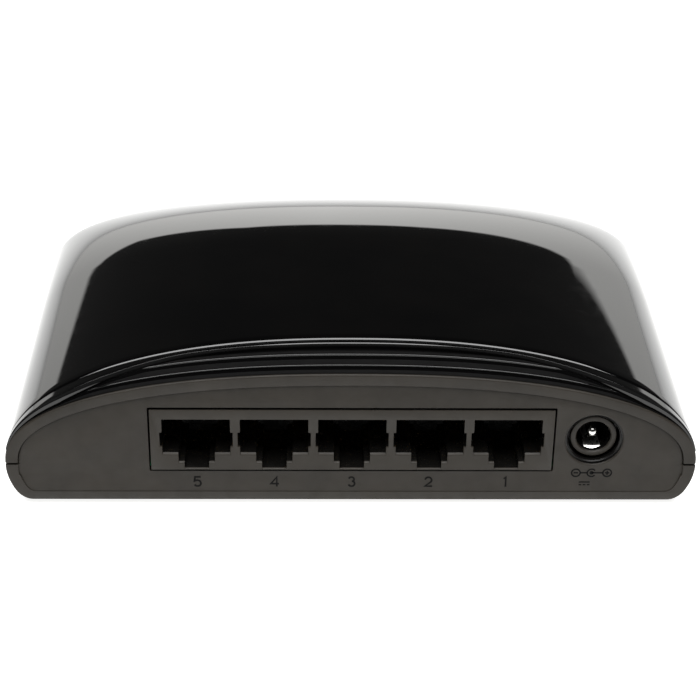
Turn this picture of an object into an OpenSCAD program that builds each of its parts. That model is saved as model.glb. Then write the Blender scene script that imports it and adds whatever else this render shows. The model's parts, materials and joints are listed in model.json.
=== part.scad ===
// Five-port desktop network switch: a domed gloss cover over a matte two-part case, with the board,
// the ganged port block, the power jack and their spring contacts inside.
// Millimetres, +Z up, ports facing +Y. The origin lies on the ground under the middle of the case.
// Inside the modules, y runs from 0 at the rear panel to -case_d at the front edge, and z from 0 at
// the underside of the case; place() moves that frame onto the feet.

/* [Case] */
// Width across the parting line
case_w = 124.8; // [122:0.2:130]
// Depth from the rear panel to the front edge
case_d = 90; // [88:1:96]
// Height of the gloss cover above the underside of the case
crown_h = 30; // [29:0.5:33]
// Height of the parting line between base and upper frame
parting_h = 7.6; // [7.4:0.1:8]
// Wall thickness of the mouldings
wall = 1.8; // [1.6:0.1:2.2]
// Exponent of the arched section: 2 is an ellipse, higher is squarer
arch_n = 2.32; // [2.1:0.02:2.6]
// Radius of the front corners seen from above
corner_r = 12; // [10:1:16]
// Radius of the front nose seen from the side
nose_r = 16.7; // [15:0.1:18]
// Angle at which the falling brow of the cover meets the nose
brow_angle = 25; // [20:1:30]

/* [Rear end] */
// Height of the rear rim above the underside
rim_h = 26.6; // [26:0.1:27]
// Width of the rim seen from the rear
rim_t = 2.3; // [2:0.1:2.6]
// Heights of the two stepped ribs above the underside
rib_h = [27.45, 28.5];
// Depth of one rib, front to back
rib_d = 2; // [1.6:0.1:2.2]
// How far the cover's rear edge sits in from the rear panel at mid-width
edge_in = 6.9; // [6:0.1:8]
// The same distance at its sides
edge_side = 4.3; // [4.2:0.1:5]
// Height of the gloss cover's lower edge above the underside
skirt_h = 10.5; // [10:0.1:11.5]

/* [Ports] */
// Number of network ports
ports = 5; // [5]
// Distance from one port to the next
port_pitch = 13.97; // [13.97]
// Height of the port block
block_h = 12.75; // [12.6:0.05:13.4]
// Length of the port block, front to back
block_l = 16; // [15.8:0.1:17]

/* [Power jack] */
// Distance of the jack from the middle of the case
jack_x = 43.6; // [43:0.1:44]
// Radius of the jack's opening
jack_r = 3.13; // [3.1:0.01:3.2]
// Radius of the jack's centre pin
pin_r = 1.05; // [1:0.01:1.1]

/* [Board] */
// Height of the board's upper face above the underside
board_top = 6.45; // [6.4:0.05:6.5]
// Board thickness
board_t = 1.6; // [1.2:0.2:1.6]
// Half the board's width
board_hw = 50.5; // [50:0.5:51]
// Front edge of the board, measured from the rear panel
board_front = 72; // [71:0.5:72.5]

/* [Feet] */
// Height of the rubber feet below the case
foot_h = 1; // [0.8:0.1:2]
// Radius of a foot
foot_r = 5; // [4:0.5:6]

/* [Hidden] */

hw = case_w / 2;
arch_steps = 26;
gap = 0.15;                                  // visible seam between mouldings
panel_in = 0.35;                             // rear panel set in from the rim
over = 1;                                    // how far a cutter runs past the face that it opens

// Cover profile, seen from the side: level, then a falling brow, then the nose
nose_top = nose_r * cos(brow_angle);
brow_r = (crown_h - parting_h - nose_top) / (1 - cos(brow_angle));
nose_in = case_d - nose_r;
brow_in = nose_in + (nose_r - brow_r) * sin(brow_angle);

// Lower edge of the base, seen in section: a wide arc into a tighter one
side_r = 11.2;
under_r = 4;
side_angle = asin((parting_h - under_r) / (side_r - under_r));

// Screws: rear pair beside the ports, front pair ahead of the board
screw_at = [[55, -12], [-55, -12], [49, -76.5], [-49, -76.5]];
boss_r = 3;
tab_side = 60;                               // how far forward the side tabs reach
tab_front = 30;                              // half the length of the front tab
board_screw_at = [[44, -46], [-44, -46]];
post_at = concat(board_screw_at, [[44, -66], [-44, -66]]);
foot_at = [[43, -14], [-43, -14], [38, -68], [-38, -68]];
foot_recess = 0.6;

// Port block
block_hw = ports * port_pitch / 2 + 1.25;
block_gap = 0.35;                            // all round between the block and the panel
block_face = 0.1;
port_x = [for (i = [0 : ports - 1]) ((ports - 1) / 2 - i) * -port_pitch];  // port 1 is on the -X side
cavity_l = 13.1;
ledge_z = 10.03;                             // floor of a plug's body
step_z = 8.22;                               // floors of the latch way
latch_z = 6.92;
contact_pitch = 1.02;
contact_r = 0.22;
contact_l = 7.3;
contact_drop = 21;                           // resting slope of the spring contacts
pivot = [-4, 17.55];                         // y and z of the contacts' bend
run_z = 18.25;                               // underside of the fixed wires above the cavity
lead_w = 0.4;
lead_t = 0.35;
leg_y = -14.5;

// Power jack
jack_z = board_top + 6.35;
jack_face = 1.6;
nose_ring_r = 4.2;
spring_r = 2.95;
spring_pivot = [-11.9, -2.8];                // y and z, z from the jack's axis
spring_front = -2.5;
jack_back = -12.9;                           // y of the bore's closed end
jack_end = -15.9;
pin_tip = -3.7;                              // where the pin's round end starts
pin_back = -14.8;
shank_hw = 0.7;                              // half the side of the pin's square shank

// Front window and lights
window_hw = 19;
window_z = [12.8, 16];
leds = 6;
led_pitch = 6;
led_y = -67;
led_x = [for (i = [0 : leds - 1]) (i - (leds - 1) / 2) * led_pitch];

// ---- shared shapes ----

module place() { translate([0, case_d / 2, foot_h]) children(); }

// A box from its lowest to its highest corner
module span(low, high) { translate(low) cube(high - low); }

// A solid skinned over closed rings that have the same number of points, clockwise seen from the first ring's side
module loft(rings) {
    n = len(rings[0]);
    m = len(rings);
    sides = [for (k = [0 : m - 2], i = [0 : n - 1]) let (j = (i + 1) % n)
        each [[k * n + i, (k + 1) * n + i, (k + 1) * n + j], [k * n + i, (k + 1) * n + j, k * n + j]]];
    polyhedron(
        points = [for (r = rings) each r],
        faces = concat([[for (i = [0 : n - 1]) i]], sides, [[for (i = [n - 1 : -1 : 0]) (m - 1) * n + i]]));
}

// A sheet of material between two grids of points, whose rows run from -X to +X and step towards the front
module sheet(outer, inner) {
    m = len(outer);
    n = len(outer[0]);
    inside = m * n;
    cells = [for (k = [0 : m - 2], i = [0 : n - 2]) let (a = k * n + i, b = a + n)
        each [[a, a + 1, b + 1], [a, b + 1, b]]];
    // the outline of the grid, walked once round
    round = concat([for (i = [0 : n - 1]) i], [for (k = [1 : m - 1]) k * n + n - 1],
        [for (i = [n - 2 : -1 : 0]) (m - 1) * n + i], [for (k = [m - 2 : -1 : 1]) k * n]);
    turns = len(round);
    polyhedron(
        points = concat([for (r = outer) each r], [for (r = inner) each r]),
        faces = concat(cells, [for (c = cells) [inside + c[2], inside + c[1], inside + c[0]]],
            [for (q = [0 : turns - 1]) let (a = round[q], b = round[(q + 1) % turns])
                each [[b, a, inside + a], [b, inside + a, inside + b]]]));
}

// Points of the arch from -X to +X, for a half-width w and a height h above the parting line
function arch(w, h) = [for (i = [0 : arch_steps])
    let (a = 180 * i / arch_steps - 90, s = sin(a), c = max(cos(a), 0))
    [w * sign(s) * pow(abs(s), 2 / arch_n), parting_h + h * pow(c, 2 / arch_n)]];

// An arched plate that stands across the case, from y0 back to y1
module arched_plate(w, top, y0, y1, low) {
    translate([0, y1, 0]) rotate([90, 0, 0]) linear_extrude(y1 - y0)
        polygon(concat(arch(w, top - parting_h), [[w, low], [-w, low]]));
}

// An arched band of thickness t
module arched_band(w, top, t, y0, y1, low) {
    difference() {
        arched_plate(w, top, y0, y1, low);
        arched_plate(w - t, top - t, y0 - over, y1 + over, low - over);
    }
}

// Half-width of the cover at a distance y_in from the rear, inset by t
function half_width(y_in, t) =
    let (past = max(0, y_in - (case_d - corner_r)))
    hw - corner_r + sqrt(max(0, pow(corner_r - t, 2) - past * past));

// Rows of the domed cover from the ribs to the nose, inset by t: distance from the rear, height above the
// parting line, and whether the row follows the cover's curved rear edge
function crown_rows(t) = let (back = t > 0 ? 1 : 0, drop = parting_h + t) concat(
    [[rib_d, rib_h[0] - drop, 0],
        [2 * rib_d - 0.05 + back, rib_h[0] - drop, 0], [2 * rib_d + 0.05 + back, rib_h[1] - drop, 0],
        [edge_side - 0.05 + back, rib_h[1] - drop, 1], [edge_side + 0.05 + back, crown_h - drop, 1]],
    [for (a = [0 : brow_angle / 3 : brow_angle - 1])
        [brow_in + (brow_r - t) * sin(a), crown_h - parting_h - brow_r + (brow_r - t) * cos(a), 0]],
    [for (k = [0 : 6]) let (a = brow_angle + (90 - brow_angle) * k / 6)
        [nose_in + (nose_r - t) * sin(a), max(0, (nose_r - t) * cos(a)), 0]]);

// How far further forward the cover's rear edge lies at x than at its sides: half an ellipse seen from above
function edge_bow(x) = (edge_in - edge_side) * sqrt(max(0, 1 - pow(x / (hw - rim_t), 2)));

function crown_grid(t) = [for (row = crown_rows(t)) let (w = half_width(row[0], t))
    [for (p = arch(w, row[1])) [p[0], -row[0] - row[2] * edge_bow(p[0]), p[1]]]];

// The domed upper wall, from the inset t0 to the deeper inset t1
module crown(t0, t1) { sheet(crown_grid(t0), crown_grid(t1)); }

// Everything between two heights
module level(low, high) { span([-hw - over, -case_d - over, low], [hw + over, over, high]); }

// One outline of the base, inset by d, at height z, with its rear edge at y = rear
function base_ring(d, z, rear) = concat(
    [[hw - d, rear, z], [-hw + d, rear, z]],
    [for (a = [180 : 15 : 270]) [corner_r - hw + (corner_r - d) * cos(a),
        corner_r - case_d + (corner_r - d) * sin(a), z]],
    [for (a = [270 : 15 : 360]) [hw - corner_r + (corner_r - d) * cos(a),
        corner_r - case_d + (corner_r - d) * sin(a), z]]);

// The rounded tray of the base, inset by t, up to the height top
module tray(t, rear, top) {
    lower = [for (k = [0 : 5]) let (a = 90 - (90 - side_angle) * k / 5)
        [side_r - (side_r - under_r) * cos(side_angle) - (under_r - t) * cos(a), under_r - (under_r - t) * sin(a)]];
    upper = [for (k = [1 : 4]) let (a = side_angle * (1 - k / 4))
        [side_r - (side_r - t) * cos(a), parting_h - (side_r - t) * sin(a)]];
    levels = concat(lower, upper, top > parting_h ? [[t, top]] : []);
    loft([for (l = levels) base_ring(l[0], l[1], rear)]);
}

// A cylinder lying along Y, from y0 to y1
module rod_y(r, y0, y1, x, z) { translate([x, y1, z]) rotate([90, 0, 0]) cylinder(r = r, h = y1 - y0, $fn = 64); }

// A square bar lying along Y, from y0 to y1
module bar_y(half, y0, y1, x, z) { span([x - half, y0, z - half], [x + half, y1, z + half]); }

// A cylinder standing on z0
module post(r, z0, z1, at) { translate([at[0], at[1], z0]) cylinder(r = r, h = z1 - z0, $fn = 48); }

// ---- casing ----

module window_slot(t) {
    span([t - window_hw, -case_d - over, window_z[0] + t], [window_hw - t, over - nose_in, window_z[1] - t]);
}

module top_cover() {
    color([0.03, 0.03, 0.03]) place() difference() {
        crown(0, wall);
        level(0, skirt_h + gap);
        window_slot(0);
    }
}

module frame_boss(at) {
    side = sign(at[0]);
    top = 13.5;
    difference() {
        union() {
            post(boss_r, parting_h, top, at);
            span([min(at[0], side * (hw - 2.5)), at[1] - 1, parting_h + 0.4],
                [max(at[0], side * (hw - 2.5)), at[1] + 1, skirt_h - 0.2]);
        }
        post(1.52, parting_h - over, top - 1, at);
    }
}

module upper_frame() {
    inner = 2 * wall;
    // inset and height along the outside of the skirt, of the tongue behind the seam, and of the tabs that
    // locate the cover
    skirt = [[0, parting_h + gap], [0.06, parting_h + 1.4], [0.24, skirt_h]];
    tongue = [[wall + 0.35, parting_h - 1.3], [wall + 0.15, parting_h + 0.5]];
    tabs = [[wall + 0.5, skirt_h - 0.5], [wall + 1.1, skirt_h + 1.3]];
    color([0.26, 0.25, 0.23]) place() {
        difference() {
            union() {
                loft([for (l = skirt) base_ring(l[0], l[1], -rib_d)]);
                loft([for (l = tongue) base_ring(l[0], l[1], -wall - 1)]);
                intersection() {
                    loft([for (l = tabs) base_ring(l[0], l[1], -wall - 1)]);
                    union() {
                        span([-hw, -tab_side, 0], [hw, 0, crown_h]);
                        span([-tab_front, -case_d, 0], [tab_front, 0, crown_h]);
                    }
                }
            }
            loft([for (z = [0, crown_h]) base_ring(inner, z, over)]);
        }
        difference() {
            arched_band(hw, rim_h, rim_t, -rib_d, 0, parting_h - over);
            level(0, parting_h + gap);
        }
        for (at = screw_at) frame_boss(at);
    }
}

module base_case() {
    color([0.26, 0.25, 0.23]) place() difference() {
        union() {
            difference() {
                tray(0, 0, parting_h);
                tray(wall, -wall, parting_h + over);
                span([-hw - over, -case_d - over, parting_h - gap], [hw + over, -wall, parting_h + over]);
            }
            arched_plate(hw - rim_t - gap, rim_h - rim_t - gap, -wall, -panel_in, parting_h - 1);
            for (at = screw_at) intersection() {
                post(boss_r + 0.5, 0.5, parting_h, at);
                tray(0.5, -0.5, parting_h);
            }
            for (at = post_at) post(2.6, 1, board_top - board_t, at);
        }
        intersection() {                     // the panel face lies inside a border at the sides and the bottom
            tray(rim_t, over, parting_h + over);
            span([-hw, -panel_in, 0], [hw, over, parting_h + over]);
        }
        span([-block_hw - block_gap, -5, board_top - block_gap],
            [block_hw + block_gap, over, board_top + block_h + block_gap]);
        rod_y(5.3, -panel_in - 0.8, over, -jack_x, jack_z);
        rod_y(4.75, -wall - over, 0, -jack_x, jack_z);
        for (at = screw_at) {
            post(3, -over, 3, at);
            post(1.75, 2, parting_h + over, at);
        }
        for (at = foot_at) post(foot_r + 0.1, -over, foot_recess, at);
        for (at = board_screw_at) post(1.22, 1.2, board_top, at);
        for (x = [-24 : 6 : 24]) span([x - 1.2, -62, -over], [x + 1.2, -44, wall + over]);
    }
}

module led_window() {
    color([0.12, 0.12, 0.13]) place() intersection() {
        crown(0, wall + 0.6);
        window_slot(0.1);
    }
}

module light_pipes() {
    pipe_z = (window_z[0] + window_z[1]) / 2;
    color([0.85, 0.88, 0.9]) place() {
        for (x = led_x) {
            rod_y(1, -84.6, led_y + 1, x, pipe_z);
            post(1, board_top + 1.3, pipe_z, [x, led_y]);
        }
        span([led_x[0] - 3, -71.6, pipe_z - 0.7], [led_x[leds - 1] + 3, -70, pipe_z + 0.7]);
        for (s = [-1, 1]) span([s * (led_x[leds - 1] + 2) - 1, -71.6, board_top], [s * (led_x[leds - 1] + 2) + 1, -70, pipe_z]);
    }
}

module case_screws() {
    color("silver") place() for (at = screw_at) {
        difference() {
            post(2.6, 1.2, 3, at);
            span([at[0] - 1.5, at[1] - 0.3, 0], [at[0] + 1.5, at[1] + 0.3, 2.1]);
            span([at[0] - 0.3, at[1] - 1.5, 0], [at[0] + 0.3, at[1] + 1.5, 2.1]);
        }
        post(1.5, 3, 12, at);
    }
}

module board_screws() {
    color("silver") place() for (at = board_screw_at) {
        difference() {
            post(2.3, board_top, board_top + 1.6, at);
            span([at[0] - 1.3, at[1] - 0.25, board_top + 0.8], [at[0] + 1.3, at[1] + 0.25, board_top + 3]);
            span([at[0] - 0.25, at[1] - 1.3, board_top + 0.8], [at[0] + 0.25, at[1] + 1.3, board_top + 3]);
        }
        post(1.2, 1.4, board_top, at);
    }
}

module rubber_feet() {
    color([0.1, 0.1, 0.1]) place() for (at = foot_at) post(foot_r, -foot_h, foot_recess, at);
}

// ---- board and ports ----

module circuit_board() {
    low = board_top - board_t;
    color([0.06, 0.3, 0.16]) place() difference() {
        span([-board_hw, -board_front, low], [board_hw, -wall - 0.2, board_top]);
        for (at = board_screw_at) post(1.35, 0, crown_h, at);
        for (px = port_x, k = [0 : 7]) post(0.45, 0, crown_h, [px + (k - 3.5) * contact_pitch, leg_y + lead_t / 2]);
        for (px = port_x, s = [-1, 1]) post(1.05, 0, crown_h, [px + s * 4.6, -9]);
        span([-jack_x - 1.7, -15.1, 0], [-jack_x + 1.7, -14.1, crown_h]);
        span([-jack_x - 1.7, -9.4, 0], [-jack_x + 1.7, -8.4, crown_h]);
    }
}

module port_housing() {
    color([0.24, 0.23, 0.22]) place() difference() {
        union() {
            span([-block_hw, -block_l, board_top], [block_hw, -block_face, board_top + block_h]);
            for (px = port_x, s = [-1, 1]) post(1, board_top - board_t - 1, board_top + 1, [px + s * 4.6, -9]);
        }
        for (px = port_x) translate([px, 0, 0]) {
            span([-6.1, -cavity_l, 14.41], [6.1, over, 17.17]);
            span([-6.54, -cavity_l, 11.43], [6.54, over, 14.42]);
            span([-6.11, -cavity_l, ledge_z], [6.11, over, 11.44]);
            span([-3.26, -cavity_l, step_z], [3.26, over, ledge_z + 0.01]);
            span([-2.2, -cavity_l, latch_z], [2.2, over, step_z + 0.01]);
            span([-4.5, -cavity_l, 17], [4.5, -3.2, 18.9]);
            span([-5, -block_l - over, board_top - over], [5, -cavity_l - 0.8, 18.9]);
            span([-4.5, -cavity_l - over, 17.6], [4.5, -cavity_l + over, 18.9]);
        }
    }
}

module contact_inserts() {
    color([0.85, 0.84, 0.8]) place() for (px = port_x)
        span([px - 4.95, -block_l, board_top], [px + 4.95, leg_y - 0.05, 18.1]);
}

module contact_frames() {
    color("gold") place() for (px = port_x, k = [0 : 7]) translate([px + (k - 3.5) * contact_pitch - lead_w / 2, 0, 0]) {
        span([0, leg_y, run_z], [lead_w, pivot[0] + lead_t / 2, run_z + lead_t]);
        span([0, leg_y, 2.6], [lead_w, leg_y + lead_t, run_z + lead_t]);
        span([0, pivot[0] - lead_t / 2, pivot[1] + 0.55], [lead_w, pivot[0] + lead_t / 2, run_z + lead_t]);
    }
}

module port_contacts(index) {
    color("gold") place() for (k = [0 : 7])
        translate([port_x[index] + (k - 3.5) * contact_pitch, pivot[0], pivot[1]])
            rotate([90 + contact_drop, 0, 0]) cylinder(r = contact_r, h = contact_l, $fn = 24);
}

module port_1_contacts() { port_contacts(0); }
module port_2_contacts() { port_contacts(1); }
module port_3_contacts() { port_contacts(2); }
module port_4_contacts() { port_contacts(3); }
module port_5_contacts() { port_contacts(4); }

module jack_housing() {
    color([0.24, 0.23, 0.22]) place() difference() {
        union() {
            span([-jack_x - 4.4, jack_end, board_top], [-jack_x + 4.4, -jack_face - 1.5, jack_z + 4.3]);
            rod_y(nose_ring_r, -jack_face - 2, -jack_face, -jack_x, jack_z);
        }
        rod_y(jack_r, jack_back, over, -jack_x, jack_z);
        bar_y(shank_hw + 0.02, jack_end - over, jack_back + over, -jack_x, jack_z);
        span([-jack_x - 2.2, jack_back, jack_z - 4.1], [-jack_x + 2.2, spring_front + 0.3, jack_z]);
        span([-jack_x - 1.25, -9.15, board_top - over], [-jack_x + 1.25, -8.65, jack_z]);
        span([-jack_x - 1.7, jack_end - over, board_top - over], [-jack_x + 1.7, -14, jack_z + 1.7]);
    }
}

module jack_pin() {
    color("silver") place() {
        rod_y(pin_r, jack_back + 0.1, pin_tip, -jack_x, jack_z);
        bar_y(shank_hw, pin_back, jack_back + 0.2, -jack_x, jack_z);
        translate([-jack_x, pin_tip, jack_z]) sphere(r = pin_r, $fn = 48);
        span([-jack_x - 1.2, pin_back, 3], [-jack_x + 1.2, pin_back + 0.4, jack_z]);
    }
}

module jack_spring() {
    color("silver") place() difference() {
        rod_y(spring_r, spring_pivot[0], spring_front, -jack_x, jack_z);
        rod_y(spring_r - 0.3, spring_pivot[0] - over, spring_front + over, -jack_x, jack_z);
        span([-jack_x - 4, -20, jack_z - 2.35], [-jack_x + 4, 0, jack_z + 4]);
    }
}

module jack_terminal() {
    color("silver") place() span([-jack_x - 1.2, -9.1, 3], [-jack_x + 1.2, -8.7, jack_z - 4.3]);
}

// ---- components on the board ----

module switch_chip() {
    pin_count = 32;
    pitch = 0.4;
    color([0.09, 0.09, 0.1]) place() translate([0, -44, board_top]) {
        span([-7, -7, 0.15], [7, 7, 1.5]);
        for (q = [0 : 90 : 270]) rotate([0, 0, q]) for (k = [0 : pin_count - 1])
            translate([(k - (pin_count - 1) / 2) * pitch, 0, 0]) {
                span([-0.09, 6.9, 0.45], [0.09, 7.5, 0.6]);
                span([-0.09, 7.35, 0], [0.09, 7.5, 0.6]);
                span([-0.09, 7.35, 0], [0.09, 8, 0.15]);
            }
    }
}

module isolation_modules() {
    color([0.11, 0.11, 0.12]) place() for (px = port_x) translate([px, -25, board_top]) {
        span([-6, -3.6, 0.3], [6, 3.6, 4.6]);
        for (s = [-1, 1], k = [0 : 7]) translate([(k - 3.5) * 1.27, s * 4.1, 0]) span([-0.2, -0.7, 0], [0.2, 0.7, 0.35]);
    }
}

module crystal() {
    color("silver") place() translate([17, -44, board_top]) rotate([0, 0, 90]) {
        for (s = [-1, 1]) translate([s * 3.2, 0, 0]) cylinder(r = 2.3, h = 0.6, $fn = 32);
        span([-3.2, -2.3, 0], [3.2, 2.3, 0.6]);
        for (s = [-1, 1]) translate([s * 3.2, 0, 0]) cylinder(r = 1.9, h = 3.6, $fn = 32);
        span([-3.2, -1.9, 0], [3.2, 1.9, 3.6]);
    }
}

module electrolytic_caps() {
    color([0.13, 0.14, 0.2]) place() for (at = [[-43.5, -23], [-43.5, -32], [-33, -36]]) post(3.15, board_top, board_top + 7.5, at);
}

module power_inductor() {
    color([0.3, 0.3, 0.31]) place() difference() {
        span([-37, -49, board_top], [-30, -42, board_top + 3.2]);
        span([-38, -47.4, board_top - over], [-36.6, -43.6, board_top + 0.6]);
    }
}

module voltage_regulator() {
    color([0.09, 0.09, 0.1]) place() translate([-24, -45, board_top]) {
        span([-1.95, -2.45, 0.15], [1.95, 2.45, 1.5]);
        for (s = [-1, 1], k = [0 : 3]) translate([s * 2.4, (k - 1.5) * 1.27, 0]) span([-0.55, -0.2, 0], [0.55, 0.2, 0.5]);
    }
}

module chip_row(count, x, y, size) {
    for (k = [0 : count - 1]) translate([x + (k - (count - 1) / 2) * 2, y, board_top])
        span([-size[0] / 2, -size[1] / 2, 0], [size[0] / 2, size[1] / 2, size[2]]);
}

module chip_resistors() {
    color([0.1, 0.1, 0.1]) place() {
        for (px = port_x) chip_row(4, px, -32, [0.8, 1.6, 0.5]);
        chip_row(leds, 0, -63.5, [0.8, 1.6, 0.5]);
    }
}

module chip_capacitors() {
    color([0.6, 0.45, 0.3]) place() {
        for (s = [-1, 1]) chip_row(4, s * 7, -55.5, [0.8, 1.6, 0.8]);
        for (px = port_x) chip_row(3, px, -18, [0.8, 1.6, 0.8]);
        chip_row(3, 26, -44, [1.2, 2, 0.9]);
    }
}

module status_leds() {
    color([0.9, 0.95, 0.85]) place() for (x = led_x) translate([x, led_y, board_top]) {
        span([-0.8, -0.4, 0], [0.8, 0.4, 0.35]);
        span([-0.5, -0.4, 0], [0.5, 0.4, 0.8]);
    }
}

top_cover();
upper_frame();
base_case();
led_window();
light_pipes();
case_screws();
board_screws();
rubber_feet();
circuit_board();
port_housing();
contact_inserts();
contact_frames();
port_1_contacts();
port_2_contacts();
port_3_contacts();
port_4_contacts();
port_5_contacts();
jack_housing();
jack_pin();
jack_spring();
jack_terminal();
switch_chip();
isolation_modules();
crystal();
electrolytic_caps();
power_inductor();
voltage_regulator();
chip_resistors();
chip_capacitors();
status_leds();
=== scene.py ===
"""A five-port desktop network switch, seen from its rear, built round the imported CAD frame.

Shapes are worked out in millimetres in the case's own frame: x across, y from 0 at the rear panel to
-DEPTH at the front edge, z from 0 at the underside of the case. to_row() turns them into metres in the
row frame.
"""

import json
import math

import bmesh
import bpy
import numpy as np
from mathutils import Matrix, Vector


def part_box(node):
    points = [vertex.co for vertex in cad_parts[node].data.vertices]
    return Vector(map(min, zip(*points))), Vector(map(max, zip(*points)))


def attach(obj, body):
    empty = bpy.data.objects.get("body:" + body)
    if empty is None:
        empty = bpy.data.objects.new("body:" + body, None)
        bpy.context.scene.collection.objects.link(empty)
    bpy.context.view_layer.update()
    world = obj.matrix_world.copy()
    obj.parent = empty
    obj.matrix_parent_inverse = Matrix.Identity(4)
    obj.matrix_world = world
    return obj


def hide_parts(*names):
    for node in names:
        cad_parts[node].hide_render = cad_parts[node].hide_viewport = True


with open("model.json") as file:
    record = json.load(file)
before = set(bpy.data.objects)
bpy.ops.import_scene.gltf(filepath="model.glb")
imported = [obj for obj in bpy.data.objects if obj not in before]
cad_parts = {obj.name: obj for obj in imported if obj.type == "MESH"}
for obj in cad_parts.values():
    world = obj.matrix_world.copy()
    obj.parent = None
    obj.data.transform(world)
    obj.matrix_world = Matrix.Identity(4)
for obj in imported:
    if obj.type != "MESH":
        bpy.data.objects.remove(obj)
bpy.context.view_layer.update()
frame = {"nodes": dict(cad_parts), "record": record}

MM = 0.001
BASE_LOW, BASE_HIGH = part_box("base_case")
COVER_LOW, COVER_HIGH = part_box("top_cover")
FRAME_LOW, FRAME_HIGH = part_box("upper_frame")
BLOCK_LOW, BLOCK_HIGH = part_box("port_housing")
JACK_LOW, JACK_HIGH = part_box("jack_housing")

HALF_W = (BASE_HIGH.x - BASE_LOW.x) / 2 / MM
DEPTH = (BASE_HIGH.y - BASE_LOW.y) / MM
REAR = BASE_HIGH.y / MM
UNDER = BASE_LOW.z / MM
CROWN = COVER_HIGH.z / MM - UNDER
PARTING = 7.6
RIM_TOP = FRAME_HIGH.z / MM - UNDER
ARCH_N = 2.32
WALL = 1.8
RIM_T = 2.3
CORNER_R = 12.0
NOSE_R = 16.7
BROW_ANGLE = math.radians(25)
RIBS = ((2.0, 27.45), (4.0, 28.5))      # distance in from the rear panel, and height, of each rib's edge
EDGE_IN = 6.9                           # how far in the cover's rear edge lies at mid-width
EDGE_HALF_W = 62.3                      # where that edge meets the rear panel
LEDGE = CROWN - 0.4                     # height of the polished ledge at its foot
LEDGE_R = 0.3
SKIRT_TOP = 10.5
SEAM = 0.15
PARTING_LOW = PARTING - 0.05            # the visible seam between base and frame
PARTING_HIGH = PARTING + 0.38
PANEL_SEAM = 0.12
PANEL_IN = 0.35
PANEL_BORDER = 1.85
WINDOW_HALF_W = 19.0
WINDOW_Z = (12.8, 16.0)

PORT_PITCH = 13.97
PORT_X = [(i - 2) * PORT_PITCH for i in range(5)]     # port 1 is on the -X side
BLOCK_FACE = BLOCK_HIGH.y / MM - REAR
BLOCK_HALF_W = (BLOCK_HIGH.x - BLOCK_LOW.x) / 2 / MM
BOARD_TOP = 6.45
BLOCK_TOP = BLOCK_HIGH.z / MM - UNDER
BLOCK_LENGTH = (BLOCK_HIGH.y - BLOCK_LOW.y) / MM

JACK_X = (JACK_HIGH.x + JACK_LOW.x) / 2 / MM
JACK_Z = BOARD_TOP + 6.35
JACK_FACE = JACK_HIGH.y / MM - REAR
JACK_BORE = 3.13

SCREW_AT = ((55, -12), (-55, -12), (49, -76.5), (-49, -76.5))
BOARD_POST_AT = ((44, -46), (-44, -46), (44, -66), (-44, -66))
FOOT_AT = ((43, -14), (-43, -14), (38, -68), (-38, -68))


# ---------------------------------------------------------------- camera, light and floor

CAMERA_AT = (7.213, REAR + 279.543, UNDER + 193.478)
CAMERA_LENS = 95.43
CAMERA_PITCH = math.radians(30.06)
CAMERA_YAW = math.radians(1.350)
CAMERA_ROLL = math.radians(0.826)

LIGHT_AT = (0.0, 0.25, 0.75)            # metres in the row frame, like the floor's size
LIGHT_SIZE = (0.9, 0.45)
LIGHT_POWER = 12
FLOOR_HALF = 3.0
WALL_LEVEL = 2.15                       # brightness of the wall ahead
SIDE_LEVEL = 1.35                       # and of the walls far to the sides
CEILING_LEVEL = 0.09
# the walls' upper edge as (x, z) of the direction towards it, from -X to +X
WALL_EDGE = [(-0.6, 0.10), (-0.50, 0.185), (-0.38, 0.29), (-0.1, 0.315), (0.1, 0.305), (0.28, 0.215),
             (0.40, 0.215), (0.50, 0.16), (0.6, 0.10)]


def make_camera():
    """The camera stands behind the object, looks towards -Y and down at its rear."""
    reach = math.cos(CAMERA_PITCH)
    forward = Vector((-math.sin(CAMERA_YAW) * reach, -math.cos(CAMERA_YAW) * reach, -math.sin(CAMERA_PITCH)))
    level = Vector((-math.cos(CAMERA_YAW), math.sin(CAMERA_YAW), 0))
    upright = level.cross(forward)
    right = level * math.cos(CAMERA_ROLL) + upright * math.sin(CAMERA_ROLL)
    up = upright * math.cos(CAMERA_ROLL) - level * math.sin(CAMERA_ROLL)
    camera = bpy.data.objects.new("camera", bpy.data.cameras.new("camera"))
    camera.data.lens = CAMERA_LENS
    camera.data.clip_start = 0.01
    turn = Matrix((right, up, -forward)).transposed()
    camera.matrix_world = Matrix.Translation(Vector(CAMERA_AT) * MM) @ turn.to_4x4()
    bpy.context.scene.collection.objects.link(camera)
    bpy.context.scene.camera = camera


def math_node(tree, operation, *values, clamp=False):
    """A Math node on numbers or other nodes' outputs."""
    node = tree.nodes.new("ShaderNodeMath")
    node.operation = operation
    node.use_clamp = clamp
    for socket, value in zip(node.inputs, values):
        if isinstance(value, (int, float)):
            socket.default_value = value
        else:
            tree.links.new(value, socket)
    return node.outputs[0]


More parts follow.
